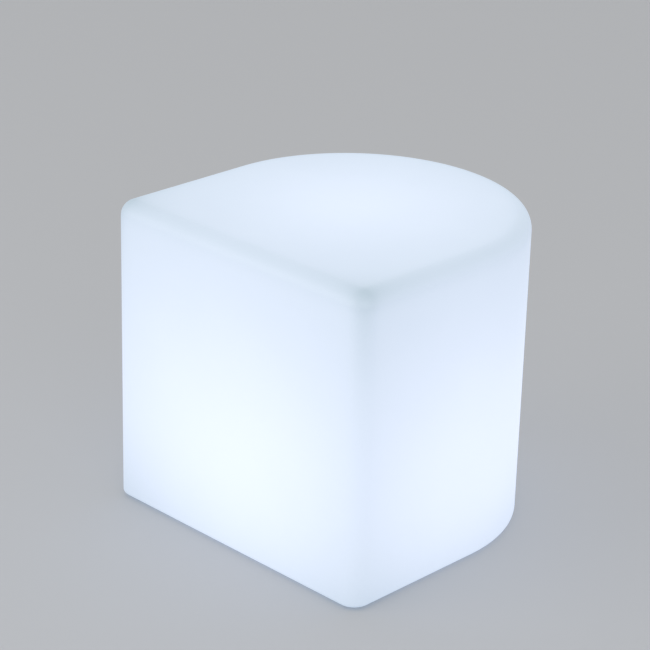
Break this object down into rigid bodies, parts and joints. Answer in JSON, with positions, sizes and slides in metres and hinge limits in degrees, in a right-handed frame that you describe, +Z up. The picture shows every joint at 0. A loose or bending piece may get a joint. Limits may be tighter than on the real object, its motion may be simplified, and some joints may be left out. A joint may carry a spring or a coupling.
{
  "type": "led light-up stool",
  "caption": "D-shaped hollow light-up stool: flat front and sides, half-round end, rounded edges, and a battery lamp screwed into a recess underneath.",
  "frame": {"origin": "on the floor, under the middle of the box of the stool's outline; the lamp's axis is the Z axis", "axes": "+Z up, -Y out of the flat front, +Y towards the half-round end, +X to the right seen from the front"},
  "size_m": [0.425, 0.42, 0.4],
  "materials": {
    "shell_plastic": "milky white, satin, lit from inside",
    "lamp_plastic": "white moulded plastic",
    "frosted_plastic": "frosted opal plastic",
    "silicone": "grey silicone",
    "foot_rubber": "matt black rubber",
    "black_plastic": "black moulded plastic",
    "screw_steel": "stainless steel",
    "brass": "turned brass",
    "aluminium": "sheet aluminium",
    "nickel": "nickel strip",
    "board_green": "green circuit board",
    "light_board_white": "white circuit board",
    "cell_wrap": "blue shrink wrap",
    "red_lead": "red insulation",
    "black_lead": "black insulation",
    "grey_lead": "grey cable sheath",
    "smoked_plastic": "dark smoked window"
  },
  "bodies": {
    "stool": {"shell": "shell_plastic", "vent_plug": "silicone", "shell_seal": "silicone", "plate_seal": "silicone", "lens_seal": "silicone", "lamp_cup": "lamp_plastic", "base_plate": "lamp_plastic", "heat_plate": "aluminium", "light_board": "light_board_white", "diffuser_dome": "frosted_plastic", "battery_holder": "black_plastic", "battery_cell_1": "cell_wrap", "battery_cell_2": "cell_wrap", "battery_contact_plus": "nickel", "battery_contact_minus": "nickel", "control_board": "board_green", "charge_jack": "black_plastic", "switch_body": "black_plastic", "button_spring": "screw_steel", "indicator_lens": "frosted_plastic", "sensor_window": "smoked_plastic", "cap_anchor": "silicone", "battery_lead_plus": "red_lead", "battery_lead_minus": "black_lead", "light_cable": "grey_lead", "foot_1": "foot_rubber", "foot_screw_1": "screw_steel", "board_screw_1": "screw_steel", "foot_2": "foot_rubber", "foot_screw_2": "screw_steel", "board_screw_2": "screw_steel", "foot_3": "foot_rubber", "foot_screw_3": "screw_steel", "board_screw_3": "screw_steel", "foot_4": "foot_rubber", "foot_screw_4": "screw_steel", "board_screw_4": "screw_steel", "thread_insert_1": "brass", "plate_screw_1": "screw_steel", "thread_insert_2": "brass", "plate_screw_2": "screw_steel", "thread_insert_3": "brass", "plate_screw_3": "screw_steel", "thread_insert_4": "brass", "plate_screw_4": "screw_steel", "thread_insert_5": "brass", "plate_screw_5": "screw_steel", "thread_insert_6": "brass", "plate_screw_6": "screw_steel", "light_board_screw_1": "screw_steel", "dome_screw_1": "screw_steel", "light_board_screw_2": "screw_steel", "dome_screw_2": "screw_steel", "light_board_screw_3": "screw_steel", "dome_screw_3": "screw_steel", "holder_screw_1": "screw_steel", "holder_screw_2": "screw_steel"},
    "button": {"power_button": "frosted_plastic"},
    "cap": {"charge_cap": "silicone"}
  },
  "joints": [
    {"name": "power_button_press", "type": "slide", "parent": "stool", "child": "button", "axis": [0, 0, 1], "range_m": [0, 0.0015], "stiffness_N_per_m": 800, "springref_m": -0.001, "deforming": ["button_spring"]},
    {"name": "charge_cap_swing", "type": "hinge", "parent": "stool", "child": "cap", "pos_m": [0.031, 0, 0.0194], "axis": [0, -1, 0], "range_deg": [0, 105]}
  ]
}
